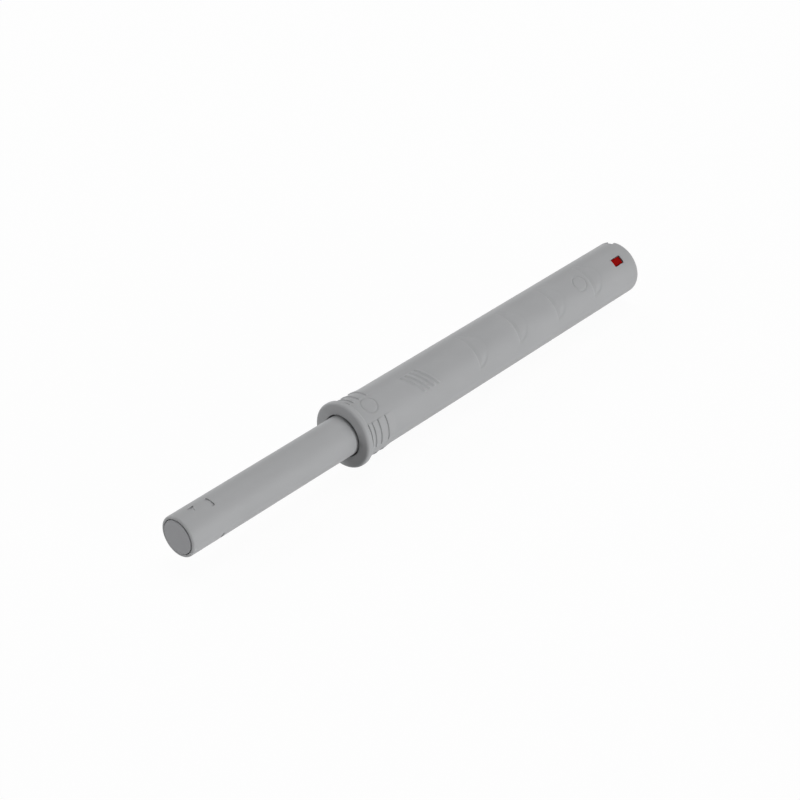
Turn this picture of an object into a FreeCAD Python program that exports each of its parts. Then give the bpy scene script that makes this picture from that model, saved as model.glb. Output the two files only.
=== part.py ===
import FreeCAD, Part
import math
import os
import Sketcher

# Push to open catch that presses into a drilled hole, in millimetres.
# The axis lies along Y: the plunger points to -Y, the sleeve goes into the panel towards +Y.
# The origin is on the axis, in the seat face of the collar, and +Z is up.

doc = FreeCAD.newDocument("push_to_open_catch")


# Driving dimensions

SIZES = [
    ("collar_flange", 0.75, "how far the collar stands out over the barrel"),
    ("collar_thick", 1.3, "front face of the collar to its seat"),
    ("collar_round", 0.45, "rounding of the collar's two edges"),
    ("barrel_radius", 4.95, "sleeve behind the collar, for a 10 mm hole"),
    ("barrel_length", 72.0, "seat face to rear end"),
    ("rear_bevel", 0.1, "bevel of the rear rim"),
    ("sleeve_wall", 0.95, "wall round the bore that the spring and the shoulder run in"),
    ("guide_wall", 1.47, "wall round the bore that guides the plunger"),
    ("mouth_gap", 0.26, "gap seen round the plunger"),
    ("mouth_depth", 2.0, "depth of that gap from the front face"),
    ("guide_clear", 0.06, "running clearance of the plunger in its guide"),
    ("guide_end", 12.0, "where the guide bore steps out to the main bore"),
    ("mark_roll", 55.0, "line of marks, from +X towards +Z, seen against +Y"),
    ("barb_height", 0.2, "barb crest over the barrel, next to the collar"),
    ("barb_fade", 0.01, "crest height lost from each barb to the next"),
    ("barb_start", 0.31, "first barb behind the seat face"),
    ("barb_length", 0.9, "length of the first barb's ramp"),
    ("barb_growth", 0.4, "length gained from each barb to the next"),
    ("barb_roll", 7.0, "middle of the smooth gap between the barbs, from the mark line"),
    ("barb_gap", 51.0, "width of that gap, and of the one opposite, in degrees"),
    ("barb_side_gap", 27.0, "width of the two gaps halfway between those, in degrees"),
    ("ridge_height", 0.2, "slanted ridge over the barrel"),
    ("ridge_rise", 0.4, "length of the ridge's front slope"),
    ("ridge_fall", 0.55, "length of the ridge's rear slope"),
    ("ridge_start", 11.3, "front end of the first slanted ridge"),
    ("ridge_pitch", 1.13, "distance between slanted ridges"),
    ("ridge_roll", 26.0, "where the slanted ridges begin, from the mark line"),
    ("ridge_sweep", 48.0, "degrees that each ridge goes round"),
    ("ridge_advance", 2.4, "rearward slant over that sweep"),
    ("line_deep", 0.08, "depth of the grooves that outline the marks"),
    ("moon_radius", 3.42, "half-moon mark, in plan"),
    ("moon_line", 0.35, "groove at a half-moon's straight edge; it is twice that at the sides"),
    ("moon_first", 27.4, "straight front edge of the first half-moon"),
    ("moon_pitch", 10.63, "distance between half-moons"),
    ("dot_radius", 1.6, "round marks"),
    ("dot_line", 0.45, "groove of a round mark"),
    ("front_dot", 3.05, "round mark between the barbs"),
    ("front_dot_roll", 12.5, "that mark, from the mark line"),
    ("rear_dot", 57.15, "round mark among the half-moons"),
    ("window_back", 3.85, "rear end of the sleeve to the middle of the window"),
    ("window_roll", -1.4, "middle of the window, from the mark line"),
    ("window_long", 2.45, "window along the axis"),
    ("window_wide", 1.62, "window across"),
    ("notch_roll", 50.8, "notch in the rear rim, from the mark line"),
    ("notch_wide", 1.5, "width of the rim notch"),
    ("notch_deep", 0.7, "depth of the rim notch"),
    ("plunger_reach", 35.8, "front face of the collar to the plunger's rim"),
    ("tube_wall", 0.67, "wall of the plunger"),
    ("rim_wall", 0.5, "wall round the buffer in the plunger's end"),
    ("tip_round", 0.34, "rounding of the plunger's rim"),
    ("lip_round", 0.08, "rounding of the rim's inner edge"),
    ("cup_depth", 2.1, "recess for the buffer in the plunger's end"),
    ("cup_gap", 0.1, "ring gap round the buffer"),
    ("web_thick", 2.0, "wall behind that recess"),
    ("dash_back", 6.28, "plunger's rim to the middle of the dashes"),
    ("dash_wide", 0.56, "dash along the axis"),
    ("dash_sweep", 36.0, "degrees that each dash goes round"),
    ("dash_roll", 82.0, "middle of the dash seen, from +X towards +Z"),
    ("mark_depth", 0.2, "depth of the plunger's marks"),
    ("arrow_back", 3.3, "plunger's rim to the middle of the arrow mark"),
    ("arrow_long", 1.2, "base of the arrow mark, along the axis"),
    ("arrow_high", 1.2, "arrow mark from its base to its point"),
    ("arrow_roll", 90.0, "middle of the arrow mark, from +X towards +Z"),
    ("buffer_proud", 0.1, "how far the buffer stands in front of the rim"),
    ("buffer_round", 0.14, "rounding of the buffer's edge"),
    ("stem_radius", 1.6, "stem of the buffer"),
    ("stem_length", 6.0, "stem behind the buffer's head"),
    ("fit_clear", 0.05, "clearance of parts that slide or turn in one another"),
    ("ring_thick", 1.0, "click ring, front to back"),
    ("ring_nose", 0.7, "nose of the click ring in the plunger's end"),
    ("ring_play", 1.2, "room behind the click ring for the inward adjustment"),
    ("key_wide", 0.8, "key slots of the screw stem"),
    ("key_deep", 0.5, "depth of the key slots"),
    ("screw_length", 11.0, "screw stem in front of the shoulder"),
    ("screw_wall", 1.1, "wall of the screw stem round its core hole"),
    ("damper_thick", 1.0, "soft stop ring"),
    ("shoulder_clear", 0.12, "clearance of the carriage's shoulder in the bore"),
    ("shoulder_thick", 2.0, "shoulder, front to back"),
    ("boss_length", 0.9, "boss that centres the spring, front to back"),
    ("tongue_inset", 0.6, "each side of the tongue inside the boss"),
    ("tongue_low", 1.8, "tongue below the axis"),
    ("tongue_high", 0.5, "tongue above the axis"),
    ("track_deep", 0.9, "depth of the track"),
    ("track_lane", 1.0, "width of each lane of the track"),
    ("tongue_side", 0.45, "wall of the tongue beside the track"),
    ("island_notch", 0.9, "depth of the notch that holds the follower"),
    ("island_long", 5.4, "island from its lobes to its point"),
    ("press_travel", 35.0, "full stroke of the plunger"),
    ("latch_travel", 32.0, "stroke at which the follower holds the plunger"),
    ("wire_radius", 0.3, "wire of the return spring"),
    ("coil_clear", 0.2, "clearance of the spring in the bore and round the boss"),
    ("coil_count", 20.0, "turns of the spring"),
    ("carrier_recess", 2.0, "rear end of the sleeve to the carrier's back"),
    ("carrier_length", 6.5, "latch carrier, front to back"),
    ("dish_radius", 2.0, "dish in the carrier's back"),
    ("dish_deep", 0.875, "depth of that dish"),
    ("tab_gap", 0.12, "gap round the tab in the window"),
    ("tab_sunk", 0.3, "face of the tab below the sleeve's surface"),
    ("pocket_wall", 1.45, "wall of the carrier beside the pocket that the follower swings in"),
    ("pocket_high", 1.75, "height of that pocket"),
    ("pocket_deep", 3.6, "depth of that pocket from the carrier's front"),
    ("pivot_back", 2.5, "carrier's front to the follower's pivot"),
    ("pivot_deep", 1.8, "pivot hole below the pocket's floor"),
    ("follower_radius", 0.4, "wire of the follower"),
    ("follower_reach", 14.0, "follower from its pivot to its tip"),
    ("follower_rise", 0.2, "gap between the tongue and the follower's arm"),
    ("leaf_thick", 0.15, "leaf spring"),
    ("leaf_wide", 1.6, "width of the leaf spring"),
    ("leaf_reach", 7.5, "leaf spring in front of the carrier"),
    ("leaf_root", 2.4, "leaf spring held in the carrier's slot"),
    ("leaf_gap", 0.05, "leaf spring over the follower's arm"),
]


BARBS = 4
RIDGES = 4
MOONS = 4


def make_sheet():
    """Write each driving dimension as a plain number beside its name and meaning."""
    sheet = doc.addObject("Spreadsheet::Sheet", "Sizes")
    for row, (alias, value, meaning) in enumerate(SIZES, start=1):
        sheet.set("A%d" % row, alias)
        sheet.set("B%d" % row, str(value))
        sheet.set("C%d" % row, meaning)
        sheet.setAlias("B%d" % row, alias)
    doc.recompute()
    return sheet


sheet = make_sheet()


# Places worked out from the driving dimensions

COLLAR_FRONT = "-Sizes.collar_thick"
COLLAR_RADIUS = "(Sizes.barrel_radius + Sizes.collar_flange)"
BORE_RADIUS = "(Sizes.barrel_radius - Sizes.sleeve_wall)"
GUIDE_RADIUS = "(Sizes.barrel_radius - Sizes.guide_wall)"
PLUNGER_RADIUS = "(%s - Sizes.guide_clear)" % GUIDE_RADIUS
MOUTH_RADIUS = "(%s + Sizes.mouth_gap)" % PLUNGER_RADIUS
RIM = "(-Sizes.collar_thick - Sizes.plunger_reach)"
TUBE_BORE = "(%s - Sizes.tube_wall)" % PLUNGER_RADIUS
CUP_RADIUS = "(%s - Sizes.rim_wall)" % PLUNGER_RADIUS
BUFFER_RADIUS = "(%s - Sizes.cup_gap)" % CUP_RADIUS
CUP_FLOOR = "(%s + Sizes.cup_depth)" % RIM
WEB_BACK = "(%s + Sizes.web_thick)" % CUP_FLOOR
STEM_HOLE = "(Sizes.stem_radius + Sizes.fit_clear / 2)"
NOSE_RADIUS = "(%s + Sizes.tube_wall / 2)" % TUBE_BORE
SCREW_RADIUS = "(%s - Sizes.fit_clear)" % TUBE_BORE
SCREW_BORE = "(%s - Sizes.screw_wall)" % SCREW_RADIUS
SHOULDER_RADIUS = "(%s - Sizes.shoulder_clear)" % BORE_RADIUS
COIL_RADIUS = "(%s - Sizes.coil_clear - Sizes.wire_radius)" % BORE_RADIUS
BOSS_RADIUS = "(%s - Sizes.wire_radius - Sizes.coil_clear)" % COIL_RADIUS
DAMPER_BACK = "(Sizes.guide_end + Sizes.damper_thick)"
SHOULDER_FRONT = "(%s + Sizes.fit_clear)" % DAMPER_BACK
SHOULDER_BACK = "(%s + Sizes.shoulder_thick)" % SHOULDER_FRONT
RING_BACK = "(%s - Sizes.ring_play)" % SHOULDER_FRONT
TAIL = "(%s - Sizes.ring_thick)" % RING_BACK
CARRIER_BACK = "(Sizes.barrel_length - Sizes.carrier_recess)"
CARRIER_FRONT = "(%s - Sizes.carrier_length)" % CARRIER_BACK
CARRIER_RADIUS = "(%s - Sizes.fit_clear)" % BORE_RADIUS
PIVOT = "(%s + Sizes.pivot_back)" % CARRIER_FRONT
TIP = "(%s - Sizes.follower_reach)" % PIVOT
TONGUE_END = "(%s - Sizes.press_travel - 10 * Sizes.fit_clear)" % CARRIER_FRONT
TRACK_FRONT = "(%s - Sizes.press_travel - 2 * Sizes.follower_radius)" % TIP
TONGUE_HALF = "(%s - Sizes.tongue_inset)" % BOSS_RADIUS
TRACK_HALF = "(%s - Sizes.tongue_side)" % TONGUE_HALF
ISLAND_HALF = "(%s - Sizes.track_lane)" % TRACK_HALF
LANE = "(%s - Sizes.track_lane / 2)" % TRACK_HALF
NOTCH_FLOOR = "(%s - Sizes.latch_travel + Sizes.follower_radius)" % TIP
LOBES = "(%s - Sizes.island_notch)" % NOTCH_FLOOR
ARM_HEIGHT = "(Sizes.tongue_high + Sizes.follower_rise + Sizes.follower_radius)"
POCKET_FLOOR = "(Sizes.tongue_high + Sizes.follower_rise - Sizes.fit_clear)"
WINDOW = "(Sizes.barrel_length - Sizes.window_back)"
LEAF_HEIGHT = "(%s + Sizes.follower_radius + Sizes.leaf_gap)" % ARM_HEIGHT


# Helpers for sketches and features

def new_body(name):
    """A body whose label is the piece's name."""
    body = doc.addObject("PartDesign::Body", name)
    body.Label = name
    return body


def origin_feature(body, role):
    """One of the body's own origin planes or axes."""
    return next(item for item in body.Origin.OriginFeatures if item.Role == role)


def new_sketch(body, name, role):
    """An empty sketch on one of the body's origin planes."""
    sketch = body.newObject("Sketcher::SketchObject", name)
    sketch.AttachmentSupport = [(origin_feature(body, role), "")]
    sketch.MapMode = "FlatFace"
    return sketch


def bind(sketch, kind, geometry, point, expression):
    """Tie one coordinate of a point, or a radius, to an expression on the sheet."""
    if kind == "Radius":
        index = sketch.addConstraint(Sketcher.Constraint(kind, geometry, 1.0))
    else:
        index = sketch.addConstraint(Sketcher.Constraint(kind, -1, 1, geometry, point, 1.0))
    sketch.setExpression("Constraints[%d]" % index, expression)


def add_outline(sketch, corners):
    """A closed outline of straight edges; each corner is a pair of expressions."""
    count = len(corners)
    first = sketch.GeometryCount
    ring = [
        FreeCAD.Vector(math.cos(2 * math.pi * i / count), math.sin(2 * math.pi * i / count), 0)
        for i in range(count)
    ]
    for i in range(count):
        sketch.addGeometry(Part.LineSegment(ring[i], ring[(i + 1) % count]), False)
    for i in range(count):
        following = first + (i + 1) % count
        sketch.addConstraint(Sketcher.Constraint("Coincident", first + i, 2, following, 1))
    for i, (across, along) in enumerate(corners):
        bind(sketch, "DistanceX", first + i, 1, across)
        bind(sketch, "DistanceY", first + i, 1, along)


def add_circle(sketch, across, along, radius):
    """A circle whose centre and radius are expressions."""
    centre = FreeCAD.Vector(0, 0, 0)
    index = sketch.addGeometry(Part.Circle(centre, FreeCAD.Vector(0, 0, 1), 1.0), False)
    bind(sketch, "DistanceX", index, 3, across)
    bind(sketch, "DistanceY", index, 3, along)
    bind(sketch, "Radius", index, 0, radius)


def box_corners(low_across, high_across, low_along, high_along):
    """The four corners of a rectangle, as pairs of expressions."""
    return [
        (low_across, low_along),
        (high_across, low_along),
        (high_across, high_along),
        (low_across, high_along),
    ]


def turn(body, kind, name, sketch, angle="360"):
    """Revolve a sketch about the part's axis, to add or to cut."""
    feature = body.newObject("PartDesign::" + kind, name)
    feature.Profile = sketch
    feature.ReferenceAxis = (sketch, ["V_Axis"])
    if angle == "360":
        feature.Angle = 360.0
    else:
        feature.Midplane = True
        feature.setExpression("Angle", angle)
    return feature


def extrude(body, kind, name, sketch, length, outwards=True):
    """Pad or pocket of a sketch; outwards is along the sketch's normal."""
    feature = body.newObject("PartDesign::" + kind, name)
    feature.Profile = sketch
    feature.setExpression("Length", length)
    if kind == "Pocket":
        feature.Reversed = outwards
    else:
        feature.Reversed = not outwards
    return feature


def lay_round(sketch, roll, distance):
    """Turn a sketch on the YZ plane about the axis, and lift it off the axis."""
    sketch.AttachmentOffset = FreeCAD.Placement(
        FreeCAD.Vector(0, 0, 0), FreeCAD.Rotation(FreeCAD.Vector(-1, 0, 0), 1)
    )
    sketch.setExpression(".AttachmentOffset.Rotation.Angle", "(%s) * 1deg" % roll)
    sketch.setExpression(".AttachmentOffset.Base.y", "(%s) * sin((%s) * 1deg)" % (distance, roll))
    sketch.setExpression(".AttachmentOffset.Base.z", "(%s) * cos((%s) * 1deg)" % (distance, roll))


def roll_half_plane(sketch, roll):
    """Turn a sketch on the XY plane about the part's axis."""
    sketch.AttachmentOffset = FreeCAD.Placement(
        FreeCAD.Vector(0, 0, 0), FreeCAD.Rotation(FreeCAD.Vector(0, -1, 0), 1)
    )
    sketch.setExpression(".AttachmentOffset.Rotation.Angle", "(%s) * 1deg" % roll)


def lift(sketch, height):
    """Lift a sketch on the XY plane to a height."""
    sketch.setExpression(".AttachmentOffset.Base.z", height)


def repeat_round(body, name, features, count):
    """Repeat features at equal angles about the part's axis."""
    pattern = body.newObject("PartDesign::PolarPattern", name)
    pattern.Originals = features
    pattern.Axis = (origin_feature(body, "Y_Axis"), [""])
    pattern.Angle = 360.0
    pattern.Occurrences = count
    body.Tip = pattern
    return pattern


def round_corner(body, name, profile, corner, size, kind="Fillet"):
    """Round or bevel the full circle that one corner of a turned profile makes."""
    doc.recompute()
    base = body.Tip
    place = profile.Geometry[corner].StartPoint
    names = []
    for number, edge in enumerate(base.Shape.Edges, start=1):
        if not isinstance(edge.Curve, Part.Circle):
            continue
        same_radius = abs(edge.Curve.Radius - place.x) < 0.01
        if same_radius and abs(edge.Curve.Center.y - place.y) < 0.01:
            names.append("Edge%d" % number)
    feature = body.newObject("PartDesign::" + kind, name)
    feature.Base = (base, names)
    feature.setExpression("Radius" if kind == "Fillet" else "Size", size)
    return feature


# The sleeve: one moulding with its collar, barbs, ridges and marks

def sleeve_shell():
    """Collar and barrel, with the mouth, guide bore and main bore."""
    body = new_body("sleeve_moulding")
    profile = new_sketch(body, "shell_profile", "XY_Plane")
    add_outline(profile, [
        (MOUTH_RADIUS, COLLAR_FRONT),
        (COLLAR_RADIUS, COLLAR_FRONT),
        (COLLAR_RADIUS, "0"),
        ("Sizes.barrel_radius", "0"),
        ("Sizes.barrel_radius", "Sizes.barrel_length"),
        (BORE_RADIUS, "Sizes.barrel_length"),
        (BORE_RADIUS, "Sizes.guide_end"),
        (GUIDE_RADIUS, "Sizes.guide_end"),
        (GUIDE_RADIUS, "Sizes.mouth_depth - Sizes.collar_thick"),
        (MOUTH_RADIUS, "Sizes.mouth_depth - Sizes.collar_thick"),
    ])
    turn(body, "Revolution", "shell", profile)
    round_corner(body, "collar_front_rounding", profile, 1, "Sizes.collar_round")
    round_corner(body, "collar_back_rounding", profile, 2, "Sizes.collar_round")
    round_corner(body, "rear_edge", profile, 4, "Sizes.rear_bevel", "Chamfer")
    return body


def add_barbs(body):
    """Saw-tooth rings behind the collar: steep towards the collar, ramped towards the rear."""
    sweep = "(90 - Sizes.barb_gap / 2 - Sizes.barb_side_gap / 2)"
    middle = "(Sizes.barb_gap / 2 + %s / 2)" % sweep
    for name, side in (("left", "+"), ("right", "-")):
        profile = new_sketch(body, "barb_profile_" + name, "XY_Plane")
        roll_half_plane(profile, "Sizes.barb_roll %s %s" % (side, middle))
        root = "(Sizes.barrel_radius - Sizes.barb_height)"
        front = "Sizes.barb_start"
        for number in range(BARBS):
            crest = "(Sizes.barrel_radius + Sizes.barb_height - %d * Sizes.barb_fade)" % number
            ramp_end = "(%s + Sizes.barb_length + %d * Sizes.barb_growth)" % (front, number)
            add_outline(profile, [
                (root, front),
                (crest, front),
                ("Sizes.barrel_radius", ramp_end),
                (root, ramp_end),
            ])
            front = ramp_end
        barbs = turn(body, "Revolution", "barbs_" + name, profile, "%s * 1deg" % sweep)
        repeat_round(body, "barbs_both_sides_" + name, [barbs], 2)


def add_ridges(body):
    """Slanted ridges with a slope on both sides, each on a steep helix."""
    profile = new_sketch(body, "ridge_profile", "XY_Plane")
    roll_half_plane(profile, "Sizes.ridge_roll")
    root = "(Sizes.barrel_radius - Sizes.ridge_height)"
    crest = "(Sizes.barrel_radius + Sizes.ridge_height)"
    top = "(Sizes.ridge_start + Sizes.ridge_rise)"
    end = "(%s + Sizes.ridge_fall)" % top
    add_outline(profile, [
        (root, "Sizes.ridge_start"),
        ("Sizes.barrel_radius", "Sizes.ridge_start"),
        (crest, top),
        ("Sizes.barrel_radius", end),
        (root, end),
    ])
    ridge = body.newObject("PartDesign::AdditiveHelix", "ridge")
    ridge.Profile = profile
    ridge.ReferenceAxis = (profile, ["V_Axis"])
    ridge.Mode = 0
    ridge.setExpression("Pitch", "Sizes.ridge_advance * 360 / Sizes.ridge_sweep")
    ridge.setExpression("Height", "Sizes.ridge_advance")
    ridge.LeftHanded = False
    pattern = body.newObject("PartDesign::LinearPattern", "ridges")
    pattern.Originals = [ridge]
    pattern.Direction = (origin_feature(body, "Y_Axis"), [""])
    pattern.setExpression("Length", "Sizes.ridge_pitch * %d" % (RIDGES - 1))
    pattern.Occurrences = RIDGES
    body.Tip = pattern


def cut_openings(body):
    """Window for the tab, and notch in the rear rim."""
    window = new_sketch(body, "window_outline", "YZ_Plane")
    lay_round(window, "Sizes.window_roll", "0")
    half_long = "Sizes.window_long / 2"
    add_outline(window, box_corners(
        "%s - %s" % (WINDOW, half_long), "%s + %s" % (WINDOW, half_long),
        "-Sizes.window_wide / 2", "Sizes.window_wide / 2",
    ))
    extrude(body, "Pocket", "window", window, "Sizes.barrel_radius + 1")

    notch = new_sketch(body, "notch_outline", "YZ_Plane")
    lay_round(notch, "Sizes.notch_roll", "0")
    add_outline(notch, box_corners(
        "Sizes.barrel_length - Sizes.notch_deep", "Sizes.barrel_length + 1",
        "-Sizes.notch_wide / 2", "Sizes.notch_wide / 2",
    ))
    extrude(body, "Pocket", "rim_notch", notch, "Sizes.barrel_radius + 1")


def mark_rod(name, radius, place, sweep, roll="0"):
    """A rod that sticks out of the axis: half of one for a half-moon, a whole one for a dot."""
    rod = doc.addObject("Part::Cylinder", name)
    rod.setExpression("Radius", radius)
    rod.setExpression("Height", "Sizes.barrel_radius + 1")
    rod.Angle = sweep
    rod.Placement = FreeCAD.Placement(
        FreeCAD.Vector(0, 0, 0), FreeCAD.Rotation(FreeCAD.Vector(0, 1, 0), 90)
    )
    rod.setExpression(".Placement.Rotation.Angle", "(90 - (%s)) * 1deg" % roll)
    rod.setExpression(".Placement.Base.y", place)
    return rod


def mark_cutter():
    """Grooves that outline the marks: each mark less its inner island, down to one depth."""
    marks = []
    islands = []
    for number in range(MOONS):
        front = "Sizes.moon_first + %d * Sizes.moon_pitch" % number
        inner = "Sizes.moon_radius - 2 * Sizes.moon_line"
        marks.append(mark_rod("moon_%d" % (number + 1), "Sizes.moon_radius", front, 180))
        islands.append(mark_rod(
            "moon_island_%d" % (number + 1), inner, "%s + Sizes.moon_line" % front, 180
        ))
    dots = (("front", "Sizes.front_dot", "Sizes.front_dot_roll"), ("rear", "Sizes.rear_dot", "0"))
    for name, place, roll in dots:
        inner = "Sizes.dot_radius - Sizes.dot_line"
        marks.append(mark_rod(name + "_dot", "Sizes.dot_radius", place, 360, roll))
        islands.append(mark_rod(name + "_dot_island", inner, place, 360, roll))
    core = doc.addObject("Part::Cylinder", "mark_core")
    core.setExpression("Radius", "Sizes.barrel_radius - Sizes.line_deep")
    core.setExpression("Height", "Sizes.barrel_length")
    core.Placement = FreeCAD.Placement(
        FreeCAD.Vector(0, 0, 0), FreeCAD.Rotation(FreeCAD.Vector(1, 0, 0), -90)
    )
    whole = doc.addObject("Part::MultiFuse", "mark_outlines")
    whole.Shapes = marks
    spared = doc.addObject("Part::MultiFuse", "mark_islands")
    spared.Shapes = islands + [core]
    cutter = doc.addObject("Part::Cut", "mark_cutter")
    cutter.Base = whole
    cutter.Tool = spared
    return cutter


def make_sleeve():
    """The whole sleeve, turned so that its line of marks stands where it is seen."""
    body = sleeve_shell()
    add_barbs(body)
    add_ridges(body)
    cut_openings(body)
    sleeve = doc.addObject("Part::Cut", "sleeve")
    sleeve.Base = body
    sleeve.Tool = mark_cutter()
    sleeve.Label = "sleeve"
    sleeve.Placement = FreeCAD.Placement(
        FreeCAD.Vector(0, 0, 0), FreeCAD.Rotation(FreeCAD.Vector(0, -1, 0), 1)
    )
    sleeve.setExpression(".Placement.Rotation.Angle", "Sizes.mark_roll * 1deg")
    return sleeve


# The plunger: tube, buffer in its end, and the ring that clicks as it is turned

def make_plunger_tube():
    """Tube with a cup for the buffer, a web behind it, and a seat for the click ring's nose."""
    body = new_body("plunger_tube")
    profile = new_sketch(body, "tube_profile", "XY_Plane")
    nose_end = "%s - Sizes.ring_nose - Sizes.fit_clear" % TAIL
    add_outline(profile, [
        (CUP_RADIUS, RIM),
        (PLUNGER_RADIUS, RIM),
        (PLUNGER_RADIUS, TAIL),
        (NOSE_RADIUS, TAIL),
        (NOSE_RADIUS, nose_end),
        (TUBE_BORE, nose_end),
        (TUBE_BORE, WEB_BACK),
        (STEM_HOLE, WEB_BACK),
        (STEM_HOLE, CUP_FLOOR),
        (CUP_RADIUS, CUP_FLOOR),
    ])
    turn(body, "Revolution", "tube", profile)
    round_corner(body, "rim_rounding", profile, 1, "Sizes.tip_round")
    round_corner(body, "lip_rounding", profile, 0, "Sizes.lip_round")

    arrow = new_sketch(body, "arrow_outline", "YZ_Plane")
    lay_round(arrow, "Sizes.arrow_roll", "%s - Sizes.mark_depth" % PLUNGER_RADIUS)
    middle = "%s + Sizes.arrow_back" % RIM
    add_outline(arrow, [
        (middle + " - Sizes.arrow_long / 2", "Sizes.arrow_high / 2"),
        (middle, "-Sizes.arrow_high / 2"),
        (middle + " + Sizes.arrow_long / 2", "Sizes.arrow_high / 2"),
    ])
    extrude(body, "Pocket", "arrow", arrow, "1")

    dash = new_sketch(body, "dash_profile", "XY_Plane")
    roll_half_plane(dash, "Sizes.dash_roll")
    place = "%s + Sizes.dash_back" % RIM
    add_outline(dash, box_corners(
        "%s - Sizes.mark_depth" % PLUNGER_RADIUS, "%s + 1" % PLUNGER_RADIUS,
        "%s - Sizes.dash_wide / 2" % place, "%s + Sizes.dash_wide / 2" % place,
    ))
    groove = turn(body, "Groove", "dash", dash, "Sizes.dash_sweep * 1deg")
    repeat_round(body, "dashes", [groove], 3)
    return body


def make_end_buffer():
    """Round face that meets the door, on a stem pressed through the plunger's web."""
    body = new_body("end_buffer")
    profile = new_sketch(body, "buffer_profile", "XY_Plane")
    face = "%s - Sizes.buffer_proud" % RIM
    stem_end = "%s + Sizes.stem_length" % CUP_FLOOR
    add_outline(profile, [
        ("0", face),
        (BUFFER_RADIUS, face),
        (BUFFER_RADIUS, CUP_FLOOR),
        ("Sizes.stem_radius", CUP_FLOOR),
        ("Sizes.stem_radius", stem_end),
        ("0", stem_end),
    ])
    turn(body, "Revolution", "buffer", profile)
    round_corner(body, "face_rounding", profile, 1, "Sizes.buffer_round")
    return body


def make_click_ring():
    """Ring keyed to the screw stem; its nose turns in the plunger's inner end."""
    body = new_body("click_ring")
    profile = new_sketch(body, "ring_profile", "XY_Plane")
    inside = "%s + Sizes.fit_clear" % SCREW_RADIUS
    nose = "%s - Sizes.fit_clear" % NOSE_RADIUS
    outside = "%s - Sizes.fit_clear" % PLUNGER_RADIUS
    add_outline(profile, [
        (inside, "%s - Sizes.ring_nose" % TAIL),
        (nose, "%s - Sizes.ring_nose" % TAIL),
        (nose, "%s + Sizes.fit_clear" % TAIL),
        (outside, "%s + Sizes.fit_clear" % TAIL),
        (outside, RING_BACK),
        (inside, RING_BACK),
    ])
    turn(body, "Revolution", "ring", profile)
    key = new_sketch(body, "key_outline", "YZ_Plane")
    lay_round(key, "0", "%s - Sizes.key_deep + Sizes.fit_clear" % SCREW_RADIUS)
    half = "(Sizes.key_wide / 2 - Sizes.fit_clear)"
    add_outline(key, box_corners("%s + Sizes.fit_clear" % TAIL, RING_BACK, "-" + half, half))
    lug = extrude(body, "Pad", "key", key, "Sizes.key_deep + 2 * Sizes.fit_clear")
    repeat_round(body, "keys", [lug], 2)
    return body


# The carriage: screw stem, shoulder and the tongue with the heart-shaped track

def make_carriage():
    """One moulding that carries the plunger and is held by the latch."""
    body = new_body("carriage")
    profile = new_sketch(body, "carriage_profile", "XY_Plane")
    stem_front = "%s - Sizes.screw_length" % SHOULDER_FRONT
    boss_end = "%s + Sizes.boss_length" % SHOULDER_BACK
    add_outline(profile, [
        (SCREW_BORE, stem_front),
        (SCREW_RADIUS, stem_front),
        (SCREW_RADIUS, SHOULDER_FRONT),
        (SHOULDER_RADIUS, SHOULDER_FRONT),
        (SHOULDER_RADIUS, SHOULDER_BACK),
        (BOSS_RADIUS, SHOULDER_BACK),
        (BOSS_RADIUS, boss_end),
        ("0", boss_end),
        ("0", SHOULDER_FRONT),
        (SCREW_BORE, SHOULDER_FRONT),
    ])
    turn(body, "Revolution", "stem_and_shoulder", profile)

    slot = new_sketch(body, "key_slot_outline", "YZ_Plane")
    lay_round(slot, "0", "%s - Sizes.key_deep" % SCREW_RADIUS)
    add_outline(slot, box_corners(
        "%s - 1" % stem_front, SHOULDER_FRONT, "-Sizes.key_wide / 2", "Sizes.key_wide / 2",
    ))
    key_slot = extrude(body, "Pocket", "key_slot", slot, "1")
    repeat_round(body, "key_slots", [key_slot], 2)

    tongue = new_sketch(body, "tongue_outline", "XY_Plane")
    lift(tongue, "Sizes.tongue_high")
    add_outline(tongue, box_corners("-" + TONGUE_HALF, TONGUE_HALF, SHOULDER_BACK, TONGUE_END))
    extrude(body, "Pad", "tongue", tongue, "Sizes.tongue_high + Sizes.tongue_low", outwards=False)

    track = new_sketch(body, "track_outline", "XY_Plane")
    lift(track, "Sizes.tongue_high")
    add_outline(track, box_corners("-" + TRACK_HALF, TRACK_HALF, TRACK_FRONT, "%s + 1" % TONGUE_END))
    lobe = "%s / 2" % ISLAND_HALF
    shoulder = "%s + %s / 4" % (LOBES, ISLAND_HALF)
    waist = "%s + 2 * %s" % (LOBES, ISLAND_HALF)
    add_outline(track, [
        ("0", NOTCH_FLOOR),
        (lobe, LOBES),
        (ISLAND_HALF, shoulder),
        (ISLAND_HALF, waist),
        ("0", "%s + Sizes.island_long" % LOBES),
        ("-" + ISLAND_HALF, waist),
        ("-" + ISLAND_HALF, shoulder),
        ("-" + lobe, LOBES),
    ])
    extrude(body, "Pocket", "track", track, "Sizes.track_deep", outwards=False)
    return body


def make_stop_ring():
    """Soft ring that quiets the shoulder as the plunger comes out."""
    body = new_body("stop_ring")
    profile = new_sketch(body, "stop_profile", "XY_Plane")
    add_outline(profile, box_corners(
        "%s + 2 * Sizes.fit_clear" % PLUNGER_RADIUS, "%s - Sizes.fit_clear" % BORE_RADIUS,
        "Sizes.guide_end", DAMPER_BACK,
    ))
    turn(body, "Revolution", "ring", profile)
    return body


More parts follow.
